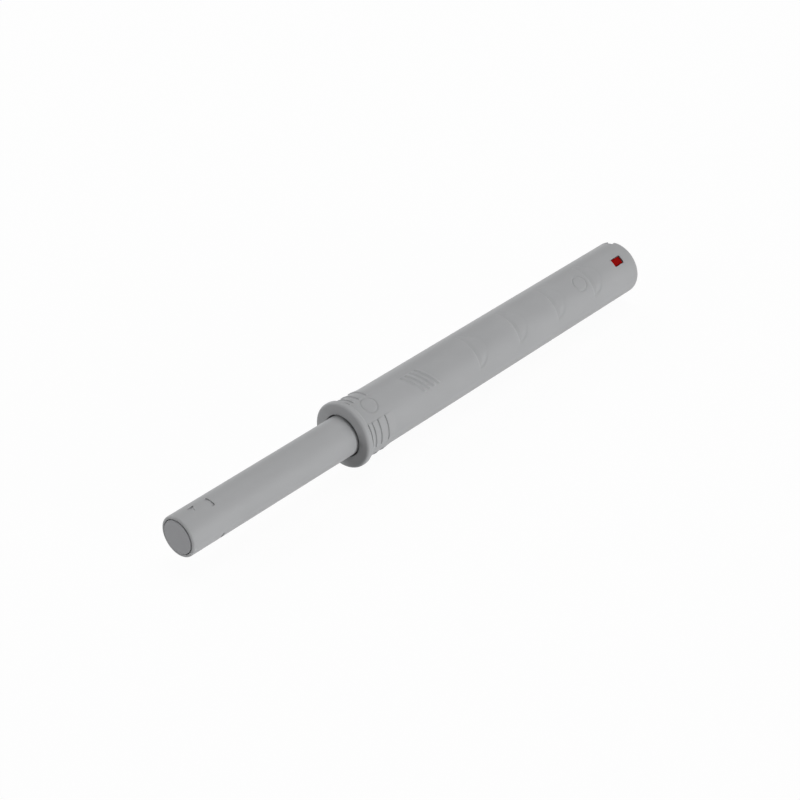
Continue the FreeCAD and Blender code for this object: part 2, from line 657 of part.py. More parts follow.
def make_return_spring():
    """Round wire on a helix, from the shoulder to the latch carrier."""
    span = "(%s - %s - 2 * Sizes.wire_radius)" % (CARRIER_FRONT, SHOULDER_BACK)
    path = doc.addObject("Part::Helix", "spring_path")
    path.setExpression("Radius", COIL_RADIUS)
    path.setExpression("Height", span)
    path.setExpression("Pitch", "%s / Sizes.coil_count" % span)
    wire = doc.addObject("Part::Circle", "spring_wire")
    wire.setExpression("Radius", "Sizes.wire_radius")
    wire.Placement = FreeCAD.Placement(
        FreeCAD.Vector(0, 0, 0), FreeCAD.Rotation(FreeCAD.Vector(1, 0, 0), 90)
    )
    wire.setExpression(".Placement.Base.x", COIL_RADIUS)
    spring = doc.addObject("Part::Sweep", "return_spring")
    spring.Sections = [wire]
    doc.recompute()
    edges = ["Edge%d" % (number + 1) for number in range(len(path.Shape.Edges))]
    spring.Spine = (path, edges)
    spring.Solid = True
    spring.Frenet = True
    spring.Label = "return_spring"
    spring.Placement = FreeCAD.Placement(
        FreeCAD.Vector(0, 0, 0), FreeCAD.Rotation(FreeCAD.Vector(1, 0, 0), -90)
    )
    spring.setExpression(".Placement.Base.y", "%s + Sizes.wire_radius" % SHOULDER_BACK)
    return spring


# The latch: carrier at the rear, follower and its leaf spring

def make_latch_carrier():
    """Plug that closes the sleeve, held by a tab in the sleeve's window."""
    body = new_body("latch_carrier")
    profile = new_sketch(body, "plug_profile", "XY_Plane")
    dish_floor = "%s - Sizes.dish_deep" % CARRIER_BACK
    add_outline(profile, [
        ("0", CARRIER_FRONT),
        (CARRIER_RADIUS, CARRIER_FRONT),
        (CARRIER_RADIUS, CARRIER_BACK),
        ("Sizes.dish_radius", CARRIER_BACK),
        ("Sizes.dish_radius", dish_floor),
        ("0", dish_floor),
    ])
    turn(body, "Revolution", "plug", profile)

    pocket = new_sketch(body, "pocket_outline", "XY_Plane")
    lift(pocket, POCKET_FLOOR)
    half = "(%s - Sizes.pocket_wall)" % CARRIER_RADIUS
    pocket_end = "%s + Sizes.pocket_deep" % CARRIER_FRONT
    add_outline(pocket, box_corners("-" + half, half, "%s - 1" % CARRIER_FRONT, pocket_end))
    extrude(body, "Pocket", "follower_pocket", pocket, "Sizes.pocket_high")

    pivot = new_sketch(body, "pivot_outline", "XY_Plane")
    lift(pivot, POCKET_FLOOR)
    add_circle(pivot, "0", PIVOT, "Sizes.follower_radius + Sizes.fit_clear")
    extrude(body, "Pocket", "pivot_hole", pivot, "Sizes.pivot_deep", outwards=False)

    slot = new_sketch(body, "leaf_slot_outline", "XY_Plane")
    lift(slot, LEAF_HEIGHT)
    leaf_half = "Sizes.leaf_wide / 2"
    add_outline(slot, box_corners(
        "-" + leaf_half, leaf_half, "%s - Sizes.fit_clear" % pocket_end,
        "%s + Sizes.leaf_root" % pocket_end,
    ))
    extrude(body, "Pocket", "leaf_slot", slot, "Sizes.leaf_thick")

    tab = new_sketch(body, "tab_outline", "YZ_Plane")
    foot = "%s / 2" % CARRIER_RADIUS
    lay_round(tab, "Sizes.mark_roll + Sizes.window_roll", foot)
    long_half = "(Sizes.window_long / 2 - Sizes.tab_gap)"
    wide_half = "(Sizes.window_wide / 2 - Sizes.tab_gap)"
    add_outline(tab, box_corners(
        "%s - %s" % (WINDOW, long_half), "%s + %s" % (WINDOW, long_half),
        "-" + wide_half, wide_half,
    ))
    extrude(body, "Pad", "tab", tab, "Sizes.barrel_radius - Sizes.tab_sunk - %s" % foot)
    return body


def make_latch_follower():
    """Bent wire: a leg in the pivot hole, an arm, and a tip that rides in the track."""
    arm_length = "sqrt(Sizes.follower_reach ^ 2 + %s ^ 2)" % LANE
    pieces = []

    def wire_run(name, length, direction, place):
        run = doc.addObject("Part::Cylinder", name)
        run.setExpression("Radius", "Sizes.follower_radius")
        run.setExpression("Height", length)
        run.Placement = FreeCAD.Placement(FreeCAD.Vector(0, 0, 0), direction)
        run.setExpression(".Placement.Base.y", place)
        pieces.append(run)

    def bend(name, place):
        ball = doc.addObject("Part::Sphere", name)
        ball.setExpression("Radius", "Sizes.follower_radius")
        ball.setExpression(".Placement.Base.y", place)
        pieces.append(ball)

    down = FreeCAD.Rotation(FreeCAD.Vector(1, 0, 0), 180)
    forward = FreeCAD.Rotation(FreeCAD.Vector(1, 0, 0), 90)
    pivot_leg = "%s - %s + Sizes.pivot_deep - 2 * Sizes.fit_clear" % (ARM_HEIGHT, POCKET_FLOOR)
    tip_leg = "%s - Sizes.tongue_high + Sizes.track_deep - 2 * Sizes.fit_clear" % ARM_HEIGHT
    wire_run("pivot_leg", pivot_leg, down, "0")
    wire_run("arm", arm_length, forward, "0")
    wire_run("tip_leg", tip_leg, down, "-" + arm_length)
    bend("pivot_bend", "0")
    bend("tip_bend", "-" + arm_length)
    follower = doc.addObject("Part::MultiFuse", "latch_follower")
    follower.Shapes = pieces
    follower.Label = "latch_follower"
    follower.Placement = FreeCAD.Placement(
        FreeCAD.Vector(0, 0, 0), FreeCAD.Rotation(FreeCAD.Vector(0, 0, -1), 1)
    )
    follower.setExpression(".Placement.Rotation.Angle", "atan(%s / Sizes.follower_reach)" % LANE)
    follower.setExpression(".Placement.Base.y", PIVOT)
    follower.setExpression(".Placement.Base.z", ARM_HEIGHT)
    return follower


def make_follower_spring():
    """Leaf that keeps the follower's tip down in the track."""
    leaf = doc.addObject("Part::Box", "follower_spring")
    leaf.Label = "follower_spring"
    leaf.setExpression("Length", "Sizes.leaf_wide")
    leaf.setExpression("Width", "Sizes.leaf_reach + Sizes.pocket_deep + Sizes.leaf_root")
    leaf.setExpression("Height", "Sizes.leaf_thick")
    leaf.setExpression(".Placement.Base.x", "-Sizes.leaf_wide / 2")
    leaf.setExpression(".Placement.Base.y", "%s - Sizes.leaf_reach" % CARRIER_FRONT)
    leaf.setExpression(".Placement.Base.z", LEAF_HEIGHT)
    return leaf


def check(items):
    """Stop where an object has failed or a piece is empty or not valid."""
    for item in doc.Objects:
        if "Invalid" in item.State or "Error" in item.State:
            raise RuntimeError("failed object: " + item.Name)
    for item in items:
        if item.Shape.isNull() or not item.Shape.isValid():
            raise RuntimeError("bad shape: " + item.Label)


pieces = [
    make_sleeve(),
    make_plunger_tube(),
    make_end_buffer(),
    make_click_ring(),
    make_carriage(),
    make_stop_ring(),
    make_return_spring(),
    make_latch_carrier(),
    make_latch_follower(),
    make_follower_spring(),
]
doc.recompute()
check(pieces)
os.makedirs("parts", exist_ok=True)
for piece in pieces:
    piece.Shape.exportStep("parts/%s.step" % piece.Label)
    print("%-16s %d solid, %.2f mm3" % (piece.Label, len(piece.Shape.Solids), piece.Shape.Volume))
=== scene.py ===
# %% [markdown]
# # Push to open catch
# This catch hides in the edge of a cabinet and pushes the door open when the door is pressed.
# We see a grey moulded sleeve that goes into a drilled 10 mm hole, a collar that stays outside,
# a grey plunger with a buffer in its end, and one red tab in a small window near the rear.
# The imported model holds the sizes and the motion, and this script makes the finished surfaces.

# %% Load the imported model
import math
import bpy
import numpy as np
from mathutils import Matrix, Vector


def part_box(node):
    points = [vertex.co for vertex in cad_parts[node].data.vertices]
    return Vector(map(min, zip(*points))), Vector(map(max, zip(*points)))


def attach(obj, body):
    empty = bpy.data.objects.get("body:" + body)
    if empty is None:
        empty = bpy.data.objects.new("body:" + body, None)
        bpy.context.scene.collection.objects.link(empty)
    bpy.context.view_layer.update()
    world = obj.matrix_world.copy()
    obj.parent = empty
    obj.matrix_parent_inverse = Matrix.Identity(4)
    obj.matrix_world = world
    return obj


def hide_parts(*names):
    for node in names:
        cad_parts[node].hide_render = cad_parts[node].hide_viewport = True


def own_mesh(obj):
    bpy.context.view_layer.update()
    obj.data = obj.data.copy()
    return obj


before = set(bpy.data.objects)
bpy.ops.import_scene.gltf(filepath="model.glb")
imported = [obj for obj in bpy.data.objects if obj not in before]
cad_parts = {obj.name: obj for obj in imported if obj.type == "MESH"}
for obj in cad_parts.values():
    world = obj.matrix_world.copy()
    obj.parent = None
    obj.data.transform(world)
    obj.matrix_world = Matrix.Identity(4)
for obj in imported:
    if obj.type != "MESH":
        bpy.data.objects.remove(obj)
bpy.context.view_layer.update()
MM = 0.001
print("nodes:", ", ".join(sorted(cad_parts)))

# %% [markdown]
# ## Sizes from the frame
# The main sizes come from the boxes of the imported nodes, so a surface made here lands on the
# piece that it stands for. All lengths below are in millimetres along the axis, with zero at the
# collar's seat face. Angles go round the axis from the right-hand side (+X) towards the top (+Z).

# %% Main sizes
sleeve_low, sleeve_high = (np.array(corner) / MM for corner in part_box("sleeve"))
tube_low, tube_high = (np.array(corner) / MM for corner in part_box("plunger_tube"))
buffer_low, buffer_high = (np.array(corner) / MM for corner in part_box("end_buffer"))
spring_low, spring_high = (np.array(corner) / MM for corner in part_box("return_spring"))

COLLAR_RADIUS = sleeve_high[0]
COLLAR_FRONT = sleeve_low[1]
SLEEVE_END = sleeve_high[1]
BARREL_RADIUS = 4.95
BORE_RADIUS = 4.0
GUIDE_END = 12.0
PLUNGER_RADIUS = tube_high[0]
RIM = tube_low[1]
TUBE_END = tube_high[1]
MARK_ROLL = 55.0
print("collar %.2f, sleeve end %.2f" % (COLLAR_RADIUS, SLEEVE_END))
print("plunger %.2f, rim %.2f" % (PLUNGER_RADIUS, RIM))

# %% [markdown]
# ## Turned surfaces
# Nearly every piece is a profile turned about the Y axis, with a little relief laid on it. A Screw
# modifier with no rise turns a profile, but it knows no relief. A grid does both: one direction
# runs along the profile, the other goes round. Each grid point has a radius, a place along the
# axis and an angle, and all three are whole arrays.

# %% Grid helpers
FULL_TURN = 360.0
SHARP_EDGE = 32.0
CORNER_POINTS = 9
ROUND_COLUMNS = 96


def ramp(start, stop, value):
    """Soft step: zero before start, one after stop, and 3t^2 - 2t^3 between them."""
    t = np.clip((value - start) / (stop - start), 0.0, 1.0)
    return t * t * (3.0 - 2.0 * t)


def round_points(radius, along, angle):
    """x = r cos(angle), y = along, z = r sin(angle): millimetres and degrees in, metres out."""
    turn = np.radians(angle)
    place = [radius * np.cos(turn), along + 0.0 * radius, radius * np.sin(turn)]
    return np.stack(place, axis=-1) * MM


def cell_faces(rows, columns, close_rows):
    """Corners of each cell of a grid: this row and the next, this column and the next. The last
    column is followed by the first, and so is the last row if asked."""
    last = rows if close_rows else rows - 1
    row, column = np.meshgrid(np.arange(last), np.arange(columns), indexing="ij")
    next_row = (row + 1) % rows
    next_column = (column + 1) % columns
    corners = [row * columns + column, next_row * columns + column]
    corners += [next_row * columns + next_column, row * columns + next_column]
    return np.stack(corners, axis=-1)


def make_mesh(name, points, faces, sharp=SHARP_EDGE):
    """One object from points and faces, smooth apart from edges sharper than the given angle."""
    mesh = bpy.data.meshes.new(name)
    mesh.from_pydata(np.asarray(points).reshape(-1, 3).tolist(), [], faces)
    mesh.validate()
    mesh.shade_smooth()
    mesh.set_sharp_from_angle(angle=math.radians(sharp))
    piece = bpy.data.objects.new(name, mesh)
    bpy.context.scene.collection.objects.link(piece)
    print("%s: %d faces" % (name, len(mesh.polygons)))
    return piece


def arc(centre, radius, start, stop, count=CORNER_POINTS):
    """Points (centre r + radius cos t, centre y + radius sin t), with t from start to stop."""
    turn = np.radians(np.linspace(start, stop, count))
    points = [centre[0] + radius * np.cos(turn), centre[1] + radius * np.sin(turn)]
    return np.stack(points, axis=-1)


def turned_solid(name, profile, columns=ROUND_COLUMNS):
    """A profile that starts and ends on the axis, turned once round. Its two points on the axis
    are single points, and each is joined to the next ring by a fan."""
    middle = np.asarray(profile[1:-1])
    angle = np.linspace(0.0, FULL_TURN, columns, endpoint=False)[None, :]
    points = round_points(middle[:, :1] + 0.0 * angle, middle[:, 1:], angle).reshape(-1, 3)
    faces = cell_faces(len(middle), columns, False).reshape(-1, 4).tolist()
    first, last = len(points), len(points) + 1
    ends = np.array([[0.0, profile[0][1], 0.0], [0.0, profile[-1][1], 0.0]]) * MM
    around = np.arange(columns)
    following = (around + 1) % columns
    base = (len(middle) - 1) * columns
    pairs = list(zip(around.tolist(), following.tolist()))
    faces += [[first, a, b] for a, b in pairs]
    faces += [[last, base + b, base + a] for a, b in pairs]
    return make_mesh(name, np.concatenate([points, ends]), faces)


# %% [markdown]
# ## The sleeve's relief
# The sleeve is one moulding. Behind the collar it has saw-tooth barbs that bite the hole's wall,
# then four slanted ridges and four half-moon marks. A thin groove outlines the half-moons and two
# round marks, one near each end. Sculpting or a boolean could give all of these, but none is more
# than 0.3 mm high or deep, so each is written as a change of the radius. That keeps the sizes
# exact, and the surface under them stays closed.

# %% Barbs
DRAFT = 0.06
MIDDLE = SLEEVE_END / 2
BARB_START = 0.31
BARB_LENGTH = 0.9
BARB_GROWTH = 0.4
BARB_COUNT = 4
BARB_CREST = 0.22
BARB_FADE = 0.01
BARB_CURVE = 1.4
BARB_ROLL = 7.0
BARB_GAPS = ((0.0, 51.0), (90.0, 27.0), (180.0, 51.0), (270.0, 27.0))
GAP_SOFT = 1.0
STEEP = 0.12
barb_lengths = BARB_LENGTH + BARB_GROWTH * np.arange(BARB_COUNT)
barb_edges = BARB_START + np.concatenate([[0.0], np.cumsum(barb_lengths)])
print("barb edges:", np.round(barb_edges, 2))


def from_line(angle, middle):
    """Degrees from a line that runs along the sleeve, wrapped to -180..180."""
    return (angle - middle + FULL_TURN / 2) % FULL_TURN - FULL_TURN / 2


def saw_tooth(distance, length, height):
    """Height of a tooth: a steep rise, then height times (1 - t) to a power, down to nothing."""
    t = np.clip(distance / length, 0.0, 1.0)
    return height * (1.0 - t) ** BARB_CURVE * np.clip(distance / STEEP, 0.0, 1.0)


def barb_height(along, angle):
    """The sum of the teeth, times a factor for each gap that falls softly to zero inside it."""
    sides = np.ones_like(angle)
    for turn, width in BARB_GAPS:
        gone = np.abs(from_line(angle, BARB_ROLL + turn))
        sides = sides * ramp(width / 2 - GAP_SOFT, width / 2 + GAP_SOFT, gone)
    height = 0.0
    for number in range(BARB_COUNT):
        crest = BARB_CREST - number * BARB_FADE
        height = height + saw_tooth(along - barb_edges[number], barb_lengths[number], crest)
    return height * sides


# %% Slanted ridges
RIDGE_START = 11.3
RIDGE_PITCH = 1.13
RIDGE_FROM = 26.0
RIDGE_SWEEP = 48.0
RIDGE_ENDS = (-1.0, 2.0)
RIDGE_ADVANCE = 2.4
RIDGE_RISE = 0.45
RIDGE_FALL = 0.55
RIDGE_HEIGHT = 0.26
RIDGE_COUNT = 4
print("ridges from %.1f to %.1f degrees" % (RIDGE_FROM, RIDGE_FROM - RIDGE_SWEEP))


def ridge_height(along, angle):
    """Soft humps, a rise times a fall, whose front moves to the rear with the angle gone round."""
    gone = RIDGE_FROM - from_line(angle, 0.0)
    inside = ramp(*RIDGE_ENDS, gone) * ramp(*RIDGE_ENDS, RIDGE_SWEEP - gone)
    height = 0.0
    for number in range(RIDGE_COUNT):
        front = RIDGE_START + number * RIDGE_PITCH + RIDGE_ADVANCE * gone / RIDGE_SWEEP
        rise = ramp(0.0, RIDGE_RISE, along - front)
        fall = 1.0 - ramp(RIDGE_RISE, RIDGE_RISE + RIDGE_FALL, along - front)
        height = height + RIDGE_HEIGHT * rise * fall
    return height * inside


# %% Half-moons and round marks
MOON_FIRST = 27.4
MOON_PITCH = 10.63
MOON_COUNT = 4
MOON_RADIUS = 3.42
MOON_WALL = 0.24
MOON_SLOPE = 1.1
MOON_FLOOR = 0.05
MOON_FADE = 0.85
MOON_FADE_PART = (0.35, 0.85)
DOT_RADIUS = 1.6
DOT_WALL = 0.16
DOT_SLOPE = 0.45
DOTS = ((3.05, 12.5), (57.15, 0.0))
LINE_DEEP = 0.12
moon_fronts = [MOON_FIRST + number * MOON_PITCH for number in range(MOON_COUNT)]
print("half-moons at", np.round(moon_fronts, 2))


def outline_groove(inwards, wall, slope):
    """Groove inside an outline: it drops within a short wall, then rises over a longer slope."""
    drop = ramp(-wall / 2, wall, inwards)
    return LINE_DEEP * drop * (1.0 - ramp(wall, slope, inwards))


def moon_depth(along, angle):
    """Grooves along half-discs that fade towards the rear, and floors that rise to the rear.
    A point's distance inwards is the less of two: to the arc and to the straight front edge."""
    turn = np.radians(from_line(angle, 0.0))
    across = BARREL_RADIUS * np.sin(turn)
    depth = 0.0
    for front in moon_fronts:
        back = along - front
        inwards = np.minimum(MOON_RADIUS - np.hypot(back, across), back)
        kept_share = 1.0 - MOON_FADE * ramp(*MOON_FADE_PART, back / MOON_RADIUS)
        depth = depth + outline_groove(inwards, MOON_WALL, MOON_SLOPE) * kept_share
        floor_part = (1.0 - back / MOON_RADIUS) * ramp(0.0, MOON_WALL, inwards)
        depth = depth + MOON_FLOOR * floor_part
    return depth * (np.cos(turn) > 0.0)


def dot_depth(along, angle):
    """Grooves along circles seen straight on: inwards = radius - distance from the middle."""
    depth = 0.0
    for place, roll in DOTS:
        turn = np.radians(from_line(angle, roll))
        inwards = DOT_RADIUS - np.hypot(along - place, BARREL_RADIUS * np.sin(turn))
        depth = depth + outline_groove(inwards, DOT_WALL, DOT_SLOPE) * (np.cos(turn) > 0.0)
    return depth


# %% [markdown]
# ## The sleeve's grid
# The grid is close where there is relief and open where the barrel is plain. The window for the
# red tab and the notch in the rear rim go right through the wall. A boolean could cut them, but it
# leaves slivers beside fine relief. So the outer and the inner surface leave out the same cells,
# and a wall joins their edges.

# %% Window and notch
WINDOW_FROM_END = 3.85
WINDOW_LONG = 2.45
WINDOW_WIDE = 1.62
WINDOW_ROLL = -1.4
NOTCH_DEEP = 0.7
NOTCH_WIDE = 1.5
NOTCH_ROLL = 50.8
BEVEL = 0.1
WINDOW_FRONT = SLEEVE_END - WINDOW_FROM_END - WINDOW_LONG / 2
WINDOW_BACK = SLEEVE_END - WINDOW_FROM_END + WINDOW_LONG / 2
NOTCH_FRONT = SLEEVE_END - NOTCH_DEEP


def half_angle(half, radius):
    """Degrees from a slot's middle to its side, at a radius: the arc sine of half / radius."""
    return math.degrees(math.asin(half / radius))


def slot_sides(radius):
    """Angles of the window's two sides and the notch's two sides, at a radius."""
    window = half_angle(WINDOW_WIDE / 2, radius)
    notch = half_angle(NOTCH_WIDE / 2, radius)
    return [WINDOW_ROLL - window, WINDOW_ROLL + window, NOTCH_ROLL - notch, NOTCH_ROLL + notch]


outer_sides = slot_sides(BARREL_RADIUS)
print("window sides %.2f and %.2f, notch sides %.2f and %.2f degrees" % tuple(outer_sides))

# %% Rows and columns of the sleeve
DECIMALS = 4
MARKED_SIDE = (-50.0, 62.0)
CLOSE_TURN = 1.0
OPEN_TURN = 3.0
EDGE_TURNS = np.arange(-1.5, 2.0, 0.5)
COLUMN_GAP = 0.35
RELIEF_STEP = 0.11
RELIEF_SPANS = ((0.3, 7.0), (11.2, 18.3), (55.4, 59.0))
MOON_SPAN = (-0.15, 3.6)
PLAIN_SPANS = ((7.5, 11.0, 0.8), (19.0, 66.0, 1.5))
ROW_GAP = 0.02


def merged(exact, fine, gap):
    """Exact places, plus the fine ones that are not closer to them than the gap."""
    exact = np.unique(np.round(np.concatenate(exact), DECIMALS))
    fine = np.unique(np.round(np.concatenate(fine), DECIMALS))
    free = np.abs(fine[:, None] - exact[None, :]).min(axis=1) > gap
    return np.sort(np.concatenate([exact, fine[free]]))


fine_columns = [
    np.arange(*MARKED_SIDE, CLOSE_TURN),
    np.arange(MARKED_SIDE[1], MARKED_SIDE[0] + FULL_TURN, OPEN_TURN),
]
for turn, width in BARB_GAPS[1:]:
    fine_columns += [BARB_ROLL + turn + side * width / 2 + EDGE_TURNS for side in (-1, 1)]
columns = merged([outer_sides], fine_columns, COLUMN_GAP)

slot_rows = [0.0, WINDOW_FRONT, WINDOW_BACK, NOTCH_FRONT, SLEEVE_END - BEVEL]
fine_rows = [np.arange(*span, RELIEF_STEP) for span in RELIEF_SPANS]
fine_rows += [np.arange(*span) for span in PLAIN_SPANS]
fine_rows += [front + np.arange(*MOON_SPAN, RELIEF_STEP) for front in moon_fronts]
outer_y = merged([barb_edges, barb_edges[:-1] + STEEP, slot_rows], fine_rows, ROW_GAP)
print("sleeve grid: %d rows on the barrel, %d columns" % (len(outer_y), len(columns)))

# %% Profile of the sleeve
MOUTH_RADIUS = 3.68
GUIDE_RADIUS = 3.48
MOUTH_END = 0.7
MOUTH_EDGE = ((0.0, 0.08), (0.03, 0.02), (0.1, 0.0))
FACE_RING = 4.6
COLLAR_ROUND = 0.45
BORE_ROWS = 12
STILL = (-60.0, 80.0, 300.0)
print("bore %.2f, guide %.2f, mouth %.2f" % (BORE_RADIUS, GUIDE_RADIUS, MOUTH_RADIUS))


def outside_rows_of_sleeve():
    """Radius and place of the rows from the mouth, over the collar and the barrel, to the rear.
    The barrel's radius has a draft that goes evenly from +DRAFT at the seat to -DRAFT at the
    rear, plus the heights of barbs and ridges, less the depths of half-moons and dots."""
    corner = COLLAR_RADIUS - COLLAR_ROUND
    head = np.concatenate([
        [(MOUTH_RADIUS + out, COLLAR_FRONT + back) for out, back in MOUTH_EDGE],
        [(FACE_RING, COLLAR_FRONT)],
        arc((corner, COLLAR_FRONT + COLLAR_ROUND), COLLAR_ROUND, -90.0, 0.0),
        arc((corner, -COLLAR_ROUND), COLLAR_ROUND, 0.0, 90.0),
    ])
    flat = np.ones((1, len(columns)))
    y, angle = np.meshgrid(outer_y, columns, indexing="ij")
    barrel_r = BARREL_RADIUS + DRAFT * (MIDDLE - y) / MIDDLE
    barrel_r = barrel_r + barb_height(y, angle) + ridge_height(y, angle)
    barrel_r = barrel_r - moon_depth(y, angle) - dot_depth(y, angle)
    rear_r = (BARREL_RADIUS - BEVEL) * flat
    radius = np.concatenate([head[:, :1] * flat, barrel_r, rear_r])
    along = np.concatenate([head[:, 1:] * flat, y, SLEEVE_END * flat])
    return radius, along


def sleeve_rows():
    """Radius, place and angle of every row: the outside, then back along the bore. The slots'
    walls are parallel, so their columns turn further out on the bore. The columns between them
    follow in proportion, from none at the angles in STILL."""
    outside_r, outside_y = outside_rows_of_sleeve()
    paired = outer_y[outer_y >= WINDOW_FRONT]
    plain = np.linspace(WINDOW_FRONT, GUIDE_END, BORE_ROWS)[1:]
    bore_y = np.concatenate([[SLEEVE_END], paired[::-1], plain])
    front_y = np.array([GUIDE_END, MOUTH_END, MOUTH_END])
    front_r = np.array([GUIDE_RADIUS, GUIDE_RADIUS, MOUTH_RADIUS])
    inside_r = np.concatenate([BORE_RADIUS * np.ones_like(bore_y), front_r])[:, None]
    inside_y = np.concatenate([bore_y, front_y])[:, None]
    flat = np.ones((1, len(columns)))
    known = [STILL[0], *outer_sides, *STILL[1:]]
    moved = [STILL[0], *slot_sides(BORE_RADIUS), *STILL[1:]]
    bore_angle = np.interp(columns, known, moved)[None, :] * np.ones((len(bore_y), 1))
    front_angle = columns[None, :] * np.ones((len(front_y), 1))
    outside_angle = columns[None, :] * np.ones((len(outside_r), 1))
    radius = np.concatenate([outside_r, inside_r * flat])
    along = np.concatenate([outside_y, inside_y * flat])
    around = np.concatenate([outside_angle, bore_angle, front_angle])
    return radius, along, around, len(outside_r)


# %% Openings of the sleeve
def nearest(values, wanted):
    """Index of the value that is nearest to the wanted one."""
    return int(np.argmin(np.abs(np.asarray(values) - wanted)))


def opening_walls(grid, outside_rows, low, high, left, right):
    """Quads between the outer and the inner edge of an opening, walked once round it. The inner
    row that lies under an outer row has the number 2 n - 1 - row, for n outside rows."""
    path = [(low, c) for c in range(right, left, -1)] + [(r, left) for r in range(low, high)]
    path += [(high, c) for c in range(left, right)] + [(r, right) for r in range(high, low, -1)]
    partner = 2 * outside_rows - 1
    walls = []
    for (row_a, col_a), (row_b, col_b) in zip(path, path[1:] + path[:1]):
        outer_a, outer_b = grid[row_a, col_a], grid[row_b, col_b]
        inner_a, inner_b = grid[partner - row_a, col_a], grid[partner - row_b, col_b]
        walls.append([int(outer_a), int(outer_b), int(inner_b), int(inner_a)])
    return walls


# %% Make the sleeve
radius, along, around, outside_rows = sleeve_rows()
head_rows = outside_rows - len(outer_y) - 1
grid = np.arange(radius.size).reshape(radius.shape)
faces = cell_faces(radius.shape[0], radius.shape[1], True)
kept = np.ones(faces.shape[:2], bool)
window_low = head_rows + nearest(outer_y, WINDOW_FRONT)
window_high = head_rows + nearest(outer_y, WINDOW_BACK)
window_left, window_right, notch_left, notch_right = (nearest(columns, a) for a in outer_sides)
notch_low = head_rows + nearest(outer_y, NOTCH_FRONT)
notch_high = outside_rows - 1
last_pair = 2 * outside_rows - 1
kept[window_low:window_high, window_left:window_right] = False
kept[last_pair - window_high:last_pair - window_low, window_left:window_right] = False
kept[notch_low:last_pair - notch_low, notch_left:notch_right] = False
walls = opening_walls(grid, outside_rows, window_low, window_high, window_left, window_right)
notch_walls = opening_walls(grid, outside_rows, notch_low, notch_high, notch_left, notch_right)
open_end = {int(grid[notch_high, c]) for c in range(notch_left, notch_right + 1)}
walls += [wall for wall in notch_walls if not (wall[0] in open_end and wall[1] in open_end)]
sleeve = make_mesh(
    "sleeve_moulding",
    round_points(radius, along, around + MARK_ROLL),
    faces[kept].tolist() + walls,
)
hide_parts("sleeve")
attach(sleeve, "housing")

# %% [markdown]
# ## The plunger
# The plunger is a thin tube. Its front end is rounded over and has a cup for the buffer. A
# triangle and short dashes are sunk into it, and show which way to turn it. A boolean could cut
# them, but it would leave knife edges that no moulding has, so they are a change of radius with a
# soft edge.

# %% Sizes of the plunger
TUBE_BORE = 2.75
NOSE_RADIUS = 3.085
NOSE_LONG = 0.75
NOSE_FRONT = TUBE_END - NOSE_LONG
CUP_RADIUS = 2.92
CUP_DEEP = 2.1
CUP_FLOOR = RIM + CUP_DEEP
WEB_THICK = 2.0
WEB_BACK = CUP_FLOOR + WEB_THICK
STEM_HOLE = 1.625
TIP_ROUND = 0.34
TIP_STOP = -9.0
TIP_POINTS = 10
LIP_ROUND = 0.16
LIP_POINTS = 4
print("cup floor %.2f, web to %.2f" % (CUP_FLOOR, WEB_BACK))

# %% Marks on the plunger
MARK_DEPTH = 0.2
MARK_EDGE = 0.06
DASH_PLACE = RIM + 6.28
DASH_ROLL = 82.0
DASH_HALF = 1.07
DASH_WIDE = 0.56
DASH_COUNT = 3
ARROW_PLACE = RIM + 3.3
ARROW_ROLL = 90.0
ARROW_LONG = 1.2
ARROW_HIGH = 1.2
print("triangle at %.2f, dashes at %.2f" % (ARROW_PLACE, DASH_PLACE))


def mark_depth(along, angle):
    """One depth inside each mark: a dash is the points near a short line round the tube, and the
    triangle is the points on the inner side of all three of its edges."""
    inside = np.zeros_like(angle)
    for number in range(DASH_COUNT):
        roll = DASH_ROLL + FULL_TURN / DASH_COUNT * number
        across = PLUNGER_RADIUS * np.radians(from_line(angle, roll))
        past_end = np.maximum(np.abs(across) - (DASH_HALF - DASH_WIDE / 2), 0.0)
        inwards = DASH_WIDE / 2 - np.hypot(along - DASH_PLACE, past_end)
        inside = np.maximum(inside, ramp(0.0, MARK_EDGE, inwards))
    across = PLUNGER_RADIUS * np.radians(from_line(angle, ARROW_ROLL))
    base = ARROW_HIGH / 2 - across
    rise = (across + ARROW_HIGH / 2) * ARROW_LONG / 2 - np.abs(along - ARROW_PLACE) * ARROW_HIGH
    slant = rise / math.hypot(ARROW_LONG / 2, ARROW_HIGH)
    inside = np.maximum(inside, ramp(0.0, MARK_EDGE, np.minimum(base, slant)))
    return MARK_DEPTH * inside


# %% Rows and columns of the plunger
ARROW_SIDE = (60.0, 110.0)
TUBE_CLOSE_TURN = 0.8
TUBE_OPEN_TURN = 1.25
ARROW_ROWS = np.arange(-0.7, 0.71, 0.05)
DASH_ROWS = np.arange(-0.35, 0.36, 0.045)
PLAIN_START = 0.9
PLAIN_STEP = 1.5
tube_columns = np.concatenate([
    np.arange(*ARROW_SIDE, TUBE_CLOSE_TURN),
    np.arange(ARROW_SIDE[1], ARROW_SIDE[0] + FULL_TURN, TUBE_OPEN_TURN),
])
tube_plain = np.arange(RIM + PLAIN_START, TUBE_END, PLAIN_STEP)
tube_y = merged(
    [[RIM + TIP_ROUND, TUBE_END]],
    [ARROW_PLACE + ARROW_ROWS, DASH_PLACE + DASH_ROWS, tube_plain],
    ROW_GAP,
)
print("plunger grid: %d rows, %d columns" % (len(tube_y), len(tube_columns)))

